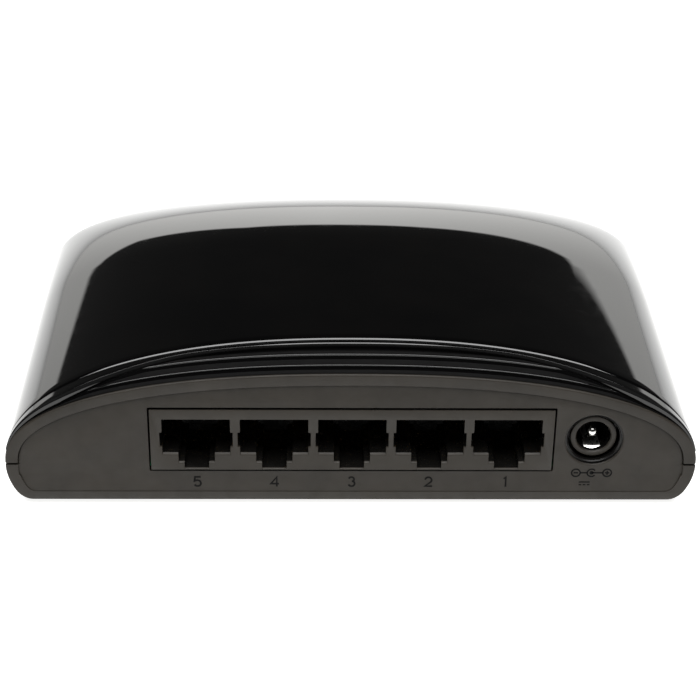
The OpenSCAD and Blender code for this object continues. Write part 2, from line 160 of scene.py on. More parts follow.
def make_world():
    """Pale studio walls ahead and at the sides, up to a low edge, and dark above and behind the camera."""
    world = bpy.data.worlds.new("studio")
    bpy.context.scene.world = world
    world.use_nodes = True
    tree = world.node_tree
    background = tree.nodes["Background"]
    coords = tree.nodes.new("ShaderNodeTexCoord")
    split = tree.nodes.new("ShaderNodeSeparateXYZ")
    tree.links.new(coords.outputs["Generated"], split.inputs[0])
    x, y, z = split.outputs
    span = WALL_EDGE[-1][0]
    heights = tree.nodes.new("ShaderNodeValToRGB")
    ramp = heights.color_ramp
    for place, _ in WALL_EDGE[1:-1]:
        ramp.elements.new((place + span) / 2 / span)
    for element, (_, height) in zip(ramp.elements, WALL_EDGE):
        element.color = (height, height, height, 1)
    share = math_node(tree, "DIVIDE", math_node(tree, "ADD", x, span), 2 * span)
    tree.links.new(share, heights.inputs[0])
    below = math_node(tree, "SUBTRACT", heights.outputs[0], z)
    wall = math_node(tree, "MULTIPLY_ADD", below, 60.0, 0.5, clamp=True)         # 1 below the edge, 0 above
    side = math_node(tree, "ABSOLUTE", x)
    behind = math_node(tree, "MULTIPLY_ADD", side, -0.6, y)
    ahead = math_node(tree, "MULTIPLY_ADD", behind, -4.0, 1.0, clamp=True)       # 1 ahead, 0 behind the camera
    # the walls are dimmer towards the sides, and brighter higher up
    level = math_node(tree, "MAXIMUM", math_node(tree, "MULTIPLY_ADD", side, -1.55, WALL_LEVEL), SIDE_LEVEL)
    level = math_node(tree, "MULTIPLY", level, math_node(tree, "MULTIPLY_ADD", z, 1.3, 0.845))
    light = math_node(tree, "MULTIPLY", math_node(tree, "MULTIPLY", wall, ahead), level)
    ceiling = math_node(tree, "MAXIMUM", math_node(tree, "MULTIPLY_ADD", z, -0.13, CEILING_LEVEL), 0.012)
    light = math_node(tree, "MAXIMUM", light, ceiling)
    tree.links.new(light, background.inputs["Strength"])
    background.inputs["Color"].default_value = (1, 0.995, 0.97, 1)


def make_stage():
    """A pale, lit table that runs out of the view."""
    mesh = bpy.data.meshes.new("floor")
    corners = [(x * FLOOR_HALF, y * FLOOR_HALF, 0) for x, y in ((-1, -1), (1, -1), (1, 1), (-1, 1))]
    mesh.from_pydata(corners, [], [(0, 1, 2, 3)])
    floor = bpy.data.objects.new("floor", mesh)
    bpy.context.scene.collection.objects.link(floor)
    mesh.materials.append(plain("floor_white", (0.7, 0.7, 0.695), 0.6, Emission_Color=(1, 1, 0.99, 1),
                                Emission_Strength=0.88))


def make_light():
    """One soft light above and behind the object, aimed at its middle."""
    light = bpy.data.lights.new("overhead", "AREA")
    light.shape = "RECTANGLE"
    light.size, light.size_y = LIGHT_SIZE
    light.energy = LIGHT_POWER
    overhead = bpy.data.objects.new("overhead", light)
    overhead.location = LIGHT_AT
    overhead.rotation_euler = (-Vector(LIGHT_AT)).to_track_quat("-Z", "Y").to_euler()
    bpy.context.scene.collection.objects.link(overhead)


# ---------------------------------------------------------------- materials


def plain(name, colour, roughness, metallic=0.0, **inputs):
    """A material with its Principled shader set; the functions below add texture nodes to it."""
    material = bpy.data.materials.new(name)
    material.use_nodes = True
    shader = material.node_tree.nodes["Principled BSDF"]
    shader.inputs["Base Color"].default_value = (*colour, 1)
    shader.inputs["Roughness"].default_value = roughness
    shader.inputs["Metallic"].default_value = metallic
    for key, value in inputs.items():
        shader.inputs[key.replace("_", " ")].default_value = value
    return material


def noise(material, scale, detail=3.0, stretch=(1, 1, 1)):
    """A noise texture in the object's own metres; scale is in cycles per metre."""
    tree = material.node_tree
    coords = tree.nodes.new("ShaderNodeTexCoord")
    mapping = tree.nodes.new("ShaderNodeMapping")
    mapping.inputs["Scale"].default_value = stretch
    texture = tree.nodes.new("ShaderNodeTexNoise")
    texture.inputs["Scale"].default_value = scale
    texture.inputs["Detail"].default_value = detail
    tree.links.new(coords.outputs["Object"], mapping.inputs["Vector"])
    tree.links.new(mapping.outputs["Vector"], texture.inputs["Vector"])
    return texture.outputs["Fac"]


def vary_colour(material, source, low, high, spread=(0.35, 0.65)):
    tree = material.node_tree
    ramp = tree.nodes.new("ShaderNodeValToRGB")
    ramp.color_ramp.elements[0].position, ramp.color_ramp.elements[1].position = spread
    ramp.color_ramp.elements[0].color = (*low, 1)
    ramp.color_ramp.elements[1].color = (*high, 1)
    tree.links.new(source, ramp.inputs[0])
    tree.links.new(ramp.outputs[0], tree.nodes["Principled BSDF"].inputs["Base Color"])


def vary_roughness(material, source, low, high):
    tree = material.node_tree
    remap = tree.nodes.new("ShaderNodeMapRange")
    remap.inputs["From Min"].default_value = 0.3
    remap.inputs["From Max"].default_value = 0.7
    remap.inputs["To Min"].default_value = low
    remap.inputs["To Max"].default_value = high
    tree.links.new(source, remap.inputs["Value"])
    tree.links.new(remap.outputs["Result"], tree.nodes["Principled BSDF"].inputs["Roughness"])


def roughen(material, source, depth_mm, strength=1.0):
    """Bump of a real depth, in millimetres."""
    tree = material.node_tree
    bump = tree.nodes.new("ShaderNodeBump")
    bump.inputs["Distance"].default_value = depth_mm * MM
    bump.inputs["Strength"].default_value = strength
    tree.links.new(source, bump.inputs["Height"])
    tree.links.new(bump.outputs["Normal"], tree.nodes["Principled BSDF"].inputs["Normal"])


def attribute(tree, name):
    node = tree.nodes.new("ShaderNodeAttribute")
    node.attribute_name = name
    return node.outputs["Fac"]


def shift_roughness(material, name, change):
    """Adds change to a roughness from nodes wherever the mesh attribute called name is 1."""
    tree = material.node_tree
    socket = tree.nodes["Principled BSDF"].inputs["Roughness"]
    before = socket.links[0].from_socket
    tree.links.new(math_node(tree, "MULTIPLY_ADD", attribute(tree, name), change, before), socket)


def gloss_black():
    """Polished plastic; the attribute "satin" marks the duller treads of the stepped rear end."""
    m = plain("gloss_black", GLOSS, 0.03)
    vary_colour(m, noise(m, 60), GLOSS_LOW, GLOSS_HIGH)
    vary_roughness(m, noise(m, 350, 6), 0.015, 0.05)
    shift_roughness(m, "satin", 0.42)
    roughen(m, noise(m, 22, 1), 0.02, 0.2)
    return m


def moulded(name, colour, grain_mm, depth_mm, roughness, mottle=0.12):
    """Moulded plastic with a spark-eroded grain."""
    m = plain(name, colour, roughness, Specular_IOR_Level=0.28)
    darker = tuple(c * (1 - mottle) for c in colour)
    lighter = tuple(c * (1 + mottle) for c in colour)
    vary_colour(m, noise(m, 150, 4), darker, lighter)
    vary_roughness(m, noise(m, 500, 4), roughness - 0.06, roughness + 0.06)
    roughen(m, noise(m, 1 / (grain_mm * MM), 4), depth_mm, 0.5)
    return m


def paint_opening_shade(material):
    """Painted shade: a plain near-black colour, polished, where the attribute "inside" marks the walls of an
    opening, standing in for the shade inside it.
    """
    tree = material.node_tree
    socket = tree.nodes["Principled BSDF"].inputs["Base Color"]
    mix = tree.nodes.new("ShaderNodeMixRGB")
    tree.links.new(attribute(tree, "inside"), mix.inputs["Fac"])
    tree.links.new(socket.links[0].from_socket, mix.inputs["Color1"])
    mix.inputs["Color2"].default_value = (*OPENING_SHADE_BLACK, 1)
    tree.links.new(mix.outputs["Color"], socket)
    shift_roughness(material, "inside", -0.25)
    return material


def metal(name, colour, roughness, stretch=(1, 1, 1)):
    m = plain(name, colour, roughness, 1.0)
    vary_colour(m, noise(m, 900, 3, stretch), tuple(c * 0.88 for c in colour), colour)
    vary_roughness(m, noise(m, 2500, 4, stretch), roughness * 0.7, roughness * 1.5)
    roughen(m, noise(m, 6000, 2, stretch), 0.003, 0.4)
    return m


def mottled(name, low, high, roughness, scale=700, bump_mm=0.01):
    m = plain(name, high, roughness)
    vary_colour(m, noise(m, scale, 4), low, high)
    vary_roughness(m, noise(m, scale * 2), roughness * 0.8, min(1, roughness * 1.25))
    roughen(m, noise(m, scale * 4), bump_mm, 0.5)
    return m


def smoked_window():
    m = plain("smoked_window", (0.015, 0.015, 0.017), 0.04, Transmission_Weight=0.35, IOR=1.49)
    vary_roughness(m, noise(m, 900), 0.03, 0.08)
    return m


def clear_light_pipe():
    m = plain("clear_light_pipe", (0.93, 0.95, 0.96), 0.06, Transmission_Weight=0.9, IOR=1.58)
    vary_roughness(m, noise(m, 1200), 0.04, 0.12)
    return m


MATTE = (0.0148, 0.0120, 0.0084)
# the colour of the painted shade on the walls of openings
OPENING_SHADE_BLACK = (0.0035, 0.0033, 0.003)
GLOSS = (0.0012, 0.0012, 0.0013)
GLOSS_LOW = (0.0010, 0.0010, 0.0011)
GLOSS_HIGH = (0.0016, 0.0015, 0.0015)
FINISHES = {
    "gloss_black": gloss_black(),
    # both finishes carry painted shade on the walls of their openings
    "matte_black": paint_opening_shade(moulded("matte_black", MATTE, 0.22, 0.02, 0.55)),
    "port_black": paint_opening_shade(moulded("port_black", (0.0165, 0.0135, 0.0095), 0.3, 0.01, 0.5, 0.08)),
    "smoked_window": smoked_window(),
    "clear_light_pipe": clear_light_pipe(),
    "plated_steel": metal("plated_steel", (0.62, 0.62, 0.6), 0.3),
    "foot_rubber": moulded("foot_rubber", (0.02, 0.02, 0.02), 0.3, 0.03, 0.85),
    "board_laminate": mottled("board_laminate", (0.012, 0.09, 0.035), (0.02, 0.14, 0.06), 0.32, 260),
    "insert_ivory": moulded("insert_ivory", (0.62, 0.59, 0.5), 0.3, 0.01, 0.5, 0.06),
    "gold_contact": metal("gold_contact", (0.85, 0.6, 0.25), 0.22, (1, 0.1, 1)),
    "nickel": metal("nickel", (0.86, 0.85, 0.82), 0.12, (1, 0.2, 1)),
    "chip_black": mottled("chip_black", (0.018, 0.018, 0.019), (0.032, 0.032, 0.034), 0.6),
    "can_steel": metal("can_steel", (0.75, 0.75, 0.74), 0.2),
    "cap_sleeve": mottled("cap_sleeve", (0.012, 0.014, 0.03), (0.02, 0.024, 0.045), 0.25),
    "ferrite": mottled("ferrite", (0.08, 0.08, 0.082), (0.13, 0.13, 0.135), 0.7),
    "resistor_black": mottled("resistor_black", (0.03, 0.03, 0.033), (0.06, 0.06, 0.065), 0.35),
    "capacitor_tan": mottled("capacitor_tan", (0.32, 0.22, 0.14), (0.46, 0.34, 0.22), 0.45),
    "led_lens": mottled("led_lens", (0.8, 0.85, 0.7), (0.9, 0.93, 0.8), 0.2),
}
MARKING = mottled("marking", (0.0012, 0.0012, 0.0011), (0.0022, 0.0021, 0.002), 0.6, 900)
MARKING.node_tree.nodes["Principled BSDF"].inputs["Specular IOR Level"].default_value = 0.08
LEAF_NICKEL = metal("leaf_nickel", (0.9, 0.89, 0.86), 0.3, (1, 0.2, 1))
RISER_BLACK = mottled("riser_black", GLOSS_LOW, GLOSS_HIGH, 0.3, 60)
RISER_BLACK.node_tree.nodes["Principled BSDF"].inputs["Specular IOR Level"].default_value = 0.06


def dress_cad_nodes():
    """Gives every CAD node the finish of its slot."""
    for part in frame["record"]["subparts"]:
        obj = frame["nodes"][part["node"]]
        finish = FINISHES[part["material_slot"]]
        for place in obj.material_slots:
            place.link = "OBJECT"
            place.material = finish


# ---------------------------------------------------------------- mesh tools


def to_row(points):
    """Millimetres in the case frame to metres in the row frame."""
    return (np.asarray(points, float) + (0, REAR, UNDER)) * MM


def skin(rings, closed=False):
    """Vertices and faces of a solid skinned over rings of points; closed joins the last ring to the first."""
    rings = np.asarray(rings, float)
    m, n = rings.shape[:2]
    faces = []
    for k in range(m if closed else m - 1):
        a, b = k * n, (k + 1) % m * n
        faces += [(a + i, b + i, b + (i + 1) % n, a + (i + 1) % n) for i in range(n)]
    if not closed:
        faces.append(tuple(range(n)))
        faces.append(tuple(range(m * n - 1, (m - 1) * n - 1, -1)))
    return rings.reshape(-1, 3), faces


def new_object(name, points, faces):
    mesh = bpy.data.meshes.new(name)
    mesh.from_pydata([tuple(p) for p in to_row(points)], [], faces)
    mesh.validate()
    obj = bpy.data.objects.new(name, mesh)
    bpy.context.scene.collection.objects.link(obj)
    tidy(obj)
    return obj


def tidy(obj, merge=1e-7):
    """Merges points that coincide, drops faces with no area and turns every face outwards."""
    bm = bmesh.new()
    bm.from_mesh(obj.data)
    bmesh.ops.remove_doubles(bm, verts=bm.verts, dist=merge)
    bmesh.ops.dissolve_degenerate(bm, dist=merge, edges=bm.edges)
    bmesh.ops.recalc_face_normals(bm, faces=bm.faces)
    bm.to_mesh(obj.data)
    bm.free()


def apply_modifiers(obj):
    """Replaces the mesh by what its modifiers make of it."""
    depsgraph = bpy.context.evaluated_depsgraph_get()
    mesh = bpy.data.meshes.new_from_object(obj.evaluated_get(depsgraph))
    obj.modifiers.clear()
    obj.data = mesh


def carve(obj, cutters, operation="DIFFERENCE"):
    """Cuts every cutter out of obj, or joins it on, and removes the cutters."""
    for cutter in cutters:
        modifier = obj.modifiers.new("cut", "BOOLEAN")
        modifier.operation = operation
        modifier.object = cutter
        modifier.solver = "EXACT"
        bpy.context.view_layer.update()
        apply_modifiers(obj)
        bpy.data.objects.remove(cutter)
    return obj


def soften(obj, width):
    """Rounds the edges sharper than 40 degrees."""
    modifier = obj.modifiers.new("round", "BEVEL")
    modifier.width = width * MM
    modifier.segments = 2
    modifier.limit_method = "ANGLE"
    modifier.angle_limit = math.radians(40)
    modifier.harden_normals = False
    bpy.context.view_layer.update()
    apply_modifiers(obj)
    return obj


def mark_opening_shade(obj, test):
    """Marks the faces that lie inside an opening, which get painted shade: test takes a face's middle in the
    case frame.
    """
    mesh = obj.data
    inside = mesh.attributes.new("inside", "FLOAT", "FACE")
    middles = [face.center / MM - Vector((0, REAR, UNDER)) for face in mesh.polygons]
    inside.data.foreach_set("value", [float(test(p)) for p in middles])


def finish_piece(obj, slot, body="case", replaces=(), sharp=32, material=None):
    """Smooth shading up to the angle sharp, a finish, a body and the CAD nodes that the piece stands for."""
    obj.data.shade_smooth()
    obj.data.set_sharp_from_angle(angle=math.radians(sharp))
    obj.data.materials.clear()
    obj.data.materials.append(material or FINISHES[slot])
    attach(obj, body)
    if replaces:
        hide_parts(*replaces)
    return obj


def join(objects, name):
    """One object from several."""
    bm = bmesh.new()
    for obj in objects:
        bm.from_mesh(obj.data)
    mesh = bpy.data.meshes.new(name)
    bm.to_mesh(mesh)
    bm.free()
    for obj in objects:
        bpy.data.objects.remove(obj)
    joined = bpy.data.objects.new(name, mesh)
    bpy.context.scene.collection.objects.link(joined)
    return joined


def arc(cx, cy, r, start, end, steps):
    """Points along an arc, angles in degrees."""
    angles = np.radians(np.linspace(start, end, steps + 1))
    return [(cx + r * math.cos(a), cy + r * math.sin(a)) for a in angles]


def rounded_rectangle(x0, x1, z0, z1, r, steps=4):
    corners = [(x1 - r, z1 - r, 0), (x0 + r, z1 - r, 90), (x0 + r, z0 + r, 180), (x1 - r, z0 + r, 270)]
    return [p for cx, cz, a in corners for p in arc(cx, cz, r, a, a + 90, steps)]


def prism(name, outline, y0, y1):
    """An outline in x and z, extruded along y."""
    rings = [[(x, y, z) for x, z in outline] for y in (y0, y1)]
    return new_object(name, *skin(rings))


def block(name, low, high):
    """A box between two corners."""
    (x0, y0, z0), (x1, y1, z1) = low, high
    return prism(name, [(x0, z0), (x1, z0), (x1, z1), (x0, z1)], y0, y1)


def lathe_y(name, profile, x, z, steps=96):
    """A closed profile of (radius, y) pairs turned round an axis along y."""
    angles = np.linspace(0, 2 * math.pi, steps, endpoint=False)
    rings = [[(x + r * math.cos(a), y, z + r * math.sin(a)) for r, y in profile] for a in angles]
    return new_object(name, *skin(rings, closed=True))


def lathe_z(name, profile, x, y, steps=64):
    """A closed profile of (radius, z) pairs turned round an upright axis."""
    angles = np.linspace(0, 2 * math.pi, steps, endpoint=False)
    rings = [[(x + r * math.cos(a), y + r * math.sin(a), z) for r, z in profile] for a in angles]
    return new_object(name, *skin(rings, closed=True))


# ---------------------------------------------------------------- the case's own curves


def arch_points(half_w, top, steps=120):
    """Points of the arch from -X to +X as (x, z)."""
    angles = np.linspace(-math.pi / 2, math.pi / 2, steps + 1)
    s, c = np.sin(angles), np.maximum(np.cos(angles), 0)
    x = half_w * np.sign(s) * np.abs(s) ** (2 / ARCH_N)
    z = PARTING + (top - PARTING) * c ** (2 / ARCH_N)
    return np.stack([x, z], 1)


def edge_line(x):
    """Distance from the rear panel to the cover's rear edge: half an ellipse seen from above."""
    return EDGE_IN * np.sqrt(np.maximum(0, 1 - (x / EDGE_HALF_W) ** 2))


def side_line(w):
    """Half-width of the cover at a distance w from the rear."""
    past = np.maximum(0, w - (DEPTH - CORNER_R))
    return HALF_W - CORNER_R + np.sqrt(np.maximum(0, CORNER_R ** 2 - past ** 2))


def plan_path(inset, rear, steps=16):
    """The case's outline from above as (x, y), from the rear +X corner round the front to the rear -X one."""
    r = CORNER_R - inset
    cx, cy = HALF_W - CORNER_R, CORNER_R - DEPTH
    side = [(HALF_W - inset, y) for y in np.linspace(rear, cy, 12, endpoint=False)]
    return (side + arc(cx, cy, r, 0, -90, steps) + [(0.0, -DEPTH + inset)] + arc(-cx, cy, r, -90, -180, steps)
            + [(-x, y) for x, y in reversed(side)])


def crown_profile():
    """Rows of the cover ahead of its rear edge: distance from the rear and height."""
    nose_in = DEPTH - NOSE_R
    brow_r = (CROWN - PARTING - NOSE_R * math.cos(BROW_ANGLE)) / (1 - math.cos(BROW_ANGLE))
    brow_in = nose_in + (NOSE_R - brow_r) * math.sin(BROW_ANGLE)
    level = [(w, CROWN) for w in np.linspace(12, brow_in - 3, 9)]
    brow = [(brow_in + brow_r * math.sin(a), CROWN - brow_r + brow_r * math.cos(a))
            for a in np.linspace(0, BROW_ANGLE, 16, endpoint=False)]
    nose = [(nose_in + NOSE_R * math.sin(a), PARTING + NOSE_R * math.cos(a))
            for a in np.linspace(BROW_ANGLE, math.pi / 2, 24)]
    return level + brow + nose


# ---------------------------------------------------------------- casing


def foot_line(x):
    """The same distance to the foot of the step up to the cover: a polished ledge lies between the two, and is
    widest towards the sides."""
    edge = edge_line(x)
    turn = np.clip((np.abs(x) - 28) / 22, 0, 1)
    width = 0.85 + 1.75 * turn * turn * (3 - 2 * turn)
    return np.maximum(edge - width, 0.32 * edge)


def cover_rows():
    """Rows of the cover's outer surface from the rear to the nose, as (distance, height, kind).

    "tread" (dull) and "rib" rows keep their distance from the rear panel until the foot line catches up with
    them. A "foot" or "edge" row lies its distance ahead of that line, a "ledge" row its share of the way
    between the two, and a "free" row is straight.
    """
    r_rib = 0.18
    turn = np.linspace(0, math.pi / 2, 6)
    height = RIM_TOP - 0.12
    rows = [(0.44, height - 0.3, "lip"), (0.44, height, "lip"), (1.0, height, "tread")]
    for w, top in RIBS:
        rows += [(w, height, "tread"), (w, height + 0.02, "rib")]
        rows += [(w + r_rib * (1 - math.cos(a)), top - r_rib * (1 - math.sin(a)), "rib") for a in turn]
        rows += [(w + 0.3, top, "tread"), (w + 1, top, "tread")]
        height = top
    rows += [(5.0, height, "tread"), (0.0, height, "foot"), (0.0, height + 0.02, "foot")]
    rows += [(LEDGE_R * (1 - math.cos(a) ** 1.4), LEDGE - LEDGE_R * 0.85 * (1 - math.sin(a) ** 1.4), "foot")
             for a in np.linspace(0, math.pi / 2, 8)]
    rows += [(0.4, LEDGE, "ledge"), (0.7, LEDGE, "ledge"), (0.0, LEDGE, "edge"), (0.0, LEDGE + 0.01, "edge")]
    round_w, round_h = 0.47, 0.38
    rows += [(round_w * (1 - math.cos(a) ** 1.5), CROWN - round_h * (1 - math.sin(a) ** 1.5), "edge")
             for a in np.linspace(0, math.pi / 2, 9)]
    rows += [(2.0, CROWN, "edge"), (4.0, CROWN, "edge")]
    return rows + [(w, z, "free") for w, z in crown_profile()]


def cover_grid():
    """The points of the cover's outer surface, row by row."""
    grid = []
    for w, top, kind in cover_rows():
        points = arch_points(side_line(w), top, 220)
        edge, foot = edge_line(points[:, 0]), foot_line(points[:, 0])
        if kind == "foot" and top > LEDGE - LEDGE_R - 0.01:     # the ledge's round is sharper at the sides
            keen = 1 - 0.85 * np.clip((np.abs(points[:, 0]) - 12) / 6, 0, 1)
            flat = arch_points(side_line(w), LEDGE, 220)
            points = flat + (points - flat) * keen[:, None]
            w = w * keen
        if kind == "free":
            place = w + 0 * edge
        elif kind == "edge":
            place = np.maximum(w + edge, 0.35)
        elif kind == "ledge":
            place = np.maximum(foot + w * (edge - foot), 0.3)
        elif kind == "foot":
            place = np.maximum(np.minimum(w + foot, edge - 0.01), 0.25)
        else:
            place = np.minimum(w, np.maximum(foot - 0.1, 0.02 + w * 0.04))
        grid.append(np.stack([points[:, 0], -place, points[:, 1]], 1))
    return np.array(grid)


def open_surface(name, grid):
    """An object from a grid of points, with no thickness yet."""
    m, n = grid.shape[:2]
    faces = [(k * n + i, k * n + i + 1, (k + 1) * n + i + 1, (k + 1) * n + i)
             for k in range(m - 1) for i in range(n - 1)]
    mesh = bpy.data.meshes.new(name)
    mesh.from_pydata([tuple(p) for p in to_row(grid.reshape(-1, 3))], [], faces)
    obj = bpy.data.objects.new(name, mesh)
    bpy.context.scene.collection.objects.link(obj)
    return obj


def slice_off(bm, point, normal, clear=True):
    """Splits the mesh along a plane and, if asked, drops what lies on the normal's side."""
    bmesh.ops.bisect_plane(bm, geom=bm.verts[:] + bm.edges[:] + bm.faces[:], plane_co=to_row([point])[0],
                           plane_no=normal, clear_outer=clear)


def thicken(bm, squeeze):
    """Closes an open surface into a wall: squeeze gives the place of a point on the wall's other face."""
    bmesh.ops.recalc_face_normals(bm, faces=bm.faces)
    rim = [tuple(e.verts) for e in bm.edges if len(e.link_faces) == 1]
    copy = bmesh.ops.duplicate(bm, geom=bm.verts[:] + bm.edges[:] + bm.faces[:])
    twin = copy["vert_map"]
    inner = [g for g in copy["geom"] if isinstance(g, bmesh.types.BMVert)]
    for vert in inner:
        vert.co = squeeze(vert)
    for a, b in rim:
        bm.faces.new((a, b, twin[b], twin[a]))
    bmesh.ops.recalc_face_normals(bm, faces=bm.faces)


def mark_rows(surface, name, marked):
    """An attribute that is 1 on the points of each marked row of an open surface."""
    across = len(surface.data.vertices) // len(marked)
    values = surface.data.attributes.new(name, "FLOAT", "POINT")
    values.data.foreach_set("value", [float(on) for on in marked for _ in range(across)])


def make_cover():
    """The domed cover, as a wall with an opening for the window in its nose."""
    cover = open_surface("gloss_cover", cover_grid())
    kinds = [kind for _, _, kind in cover_rows()]
    foot = kinds.index("foot")
    mark_rows(cover, "satin", [kind == "tread" for kind in kinds])
    mark_rows(cover, "riser", [foot <= k < foot + 3 for k in range(len(kinds))])
    mark_rows(cover, "thin", [k < 4 for k in range(len(kinds))])                 # the lip over the rim
    low = SKIRT_TOP + SEAM
    bm = bmesh.new()
    bm.from_mesh(cover.data)
    bmesh.ops.remove_doubles(bm, verts=bm.verts, dist=1e-7)
    slice_off(bm, (0, 0, low), (0, 0, -1))
    for point, normal in (((WINDOW_HALF_W, 0, 0), (1, 0, 0)), ((-WINDOW_HALF_W, 0, 0), (-1, 0, 0)),
                          ((0, 0, WINDOW_Z[0]), (0, 0, -1)), ((0, 0, WINDOW_Z[1]), (0, 0, 1))):
        slice_off(bm, point, normal, clear=False)
    x_limit = WINDOW_HALF_W * MM
    z_low, z_high = (to_row([(0, 0, z)])[0][2] for z in WINDOW_Z)
    window = [f for f in bm.faces if abs(f.calc_center_median().x) < x_limit
              and z_low < f.calc_center_median().z < z_high and f.calc_center_median().y < 0]
    bmesh.ops.delete(bm, geom=window, context="FACES")

    layer = bm.verts.layers.float["thin"]

    def squeeze(vert):
        p = vert.co
        x, y, z = p.x / MM, p.y / MM - REAR, p.z / MM - UNDER
        if vert[layer] > 0.5:
            return Vector(to_row([(x * 0.995, y, z - 0.25)])[0])
        inside = (x * (1 - WALL / HALF_W), -1.2 + y * (DEPTH - WALL - 1.2) / DEPTH,
                  low + (z - low) * (CROWN - WALL - low) / (CROWN - low))
        return Vector(to_row([inside])[0])

    thicken(bm, squeeze)
    bm.to_mesh(cover.data)
    bm.free()
    finish_piece(cover, "gloss_black", replaces=["top_cover"])
    cover.data.materials.append(RISER_BLACK)
    marks = cover.data.attributes["riser"].data
    for face in cover.data.polygons:
        face.material_index = int(all(marks[v].value > 0.5 for v in face.vertices))
    return cover


def make_frame():
    """The matte rim at the rear and the skirt round the sides and the front."""
    # the rim: a cross-section of (share of the way from the inner to the outer arch, y), swept along the arch
    inner_r, outer_r, lip = 0.25, 0.4, 0.42
    inner_round = [(0.07 * (1 - math.cos(a)), -inner_r + inner_r * math.sin(a))
                   for a in np.linspace(0.3, math.pi / 2, 4)]
    outer_round = [(1 - 0.17 * (1 - math.sin(a)), -outer_r * (1 - math.cos(a)))
                   for a in np.linspace(0, math.pi / 2, 6)]
    section = ([(0, -2.0), (0, -inner_r)] + inner_round + outer_round
               + [(1, -lip), (0.8, -lip - 0.02), (0.8, -2.0)])
    outer = arch_points(HALF_W, RIM_TOP, 200)
    inner = arch_points(HALF_W - RIM_T, RIM_TOP - RIM_T, 200)
    rings = []
    for (xo, zo), (xi, zi) in zip(outer, inner):
        rings.append([(xi + (xo - xi) * s, y, zi + (zo - zi) * s) for s, y in section])
    rim = new_object("rim", *skin(rings))
    carve(rim, [block("cut", (-HALF_W - 1, -5, 0), (HALF_W + 1, 1, PARTING_HIGH))])

    # the skirt: a cross-section of (inset, z), swept round the case
    skirt = [(0.2, PARTING_HIGH), (0.06, PARTING_HIGH + 0.05), (0.0, PARTING_HIGH + 0.2), (0.03, 9.0),
             (0.1, 9.8), (0.22, SKIRT_TOP - 0.2), (0.3, SKIRT_TOP - 0.06), (0.45, SKIRT_TOP),
             (WALL + 0.5, SKIRT_TOP), (WALL + 1.1, SKIRT_TOP + 1.3), (2 * WALL, SKIRT_TOP + 1.3),
             (2 * WALL, PARTING - 1.2), (WALL + 0.4, PARTING - 1.2), (WALL + 0.3, PARTING_HIGH)]
    columns = []
    for inset, z in skirt:
        column = np.array(plan_path(inset, -1.9))
        if z > 8.5:                         # drawn in a little at the front, so that it stays under the cover
            column *= 1 - 0.006 * np.clip((-column[:, 1:] - 50) / 25, 0, 1)
        columns.append(column)
    rings = [[(*column[i], z) for column, (inset, z) in zip(columns, skirt)] for i in range(len(columns[0]))]
    band = new_object("band", *skin(rings))
    piece = join([rim, band], "matte_frame")
    bosses = []
    for x, y in SCREW_AT:
        sleeve = [(1.52, PARTING + 0.05), (3.0, PARTING + 0.05), (3.0, 13.4), (1.52, 13.4)]
        bosses.append(lathe_z("boss", sleeve, x, y))
        side = math.copysign(1, x)
        x0, x1 = sorted((x + side * 2.7, side * (HALF_W - 3.3)))
        bosses.append(block("web", (x0, y - 0.8, PARTING + 0.5), (x1, y + 0.8, SKIRT_TOP - 0.2)))
    piece = join([piece] + bosses, "matte_frame")
    return finish_piece(piece, "matte_black", replaces=["upper_frame"])


def tray_levels(inset, steps=10):
    """(inset, z) down the base's side, from the parting line to the flat underside."""
    wide, tight = 11.2, 4.0                 # the radii of the side and of the turn under it
    turn = math.asin((PARTING - tight) / (wide - tight))
    side = [(wide - (wide - inset) * math.cos(a), PARTING - (wide - inset) * math.sin(a))
            for a in np.linspace(0, turn, steps, endpoint=False)]
    corner_x = wide - (wide - tight) * math.cos(turn)
    under = [(corner_x - (tight - inset) * math.cos(a), tight - (tight - inset) * math.sin(a))
             for a in np.linspace(turn, math.pi / 2, steps)]
    return side + under


def tray_ring(inset, z, rear):
    """One closed outline of the base, with small rounded corners at the rear."""
    corner = 0.3
    path = plan_path(inset, rear - corner)
    x = HALF_W - inset
    right = arc(x - corner, rear - corner, corner, 90, 0, 4)[:-1]
    left = [(-px, py) for px, py in reversed(right)]
    return [(px, py, z) for px, py in right + path + left]


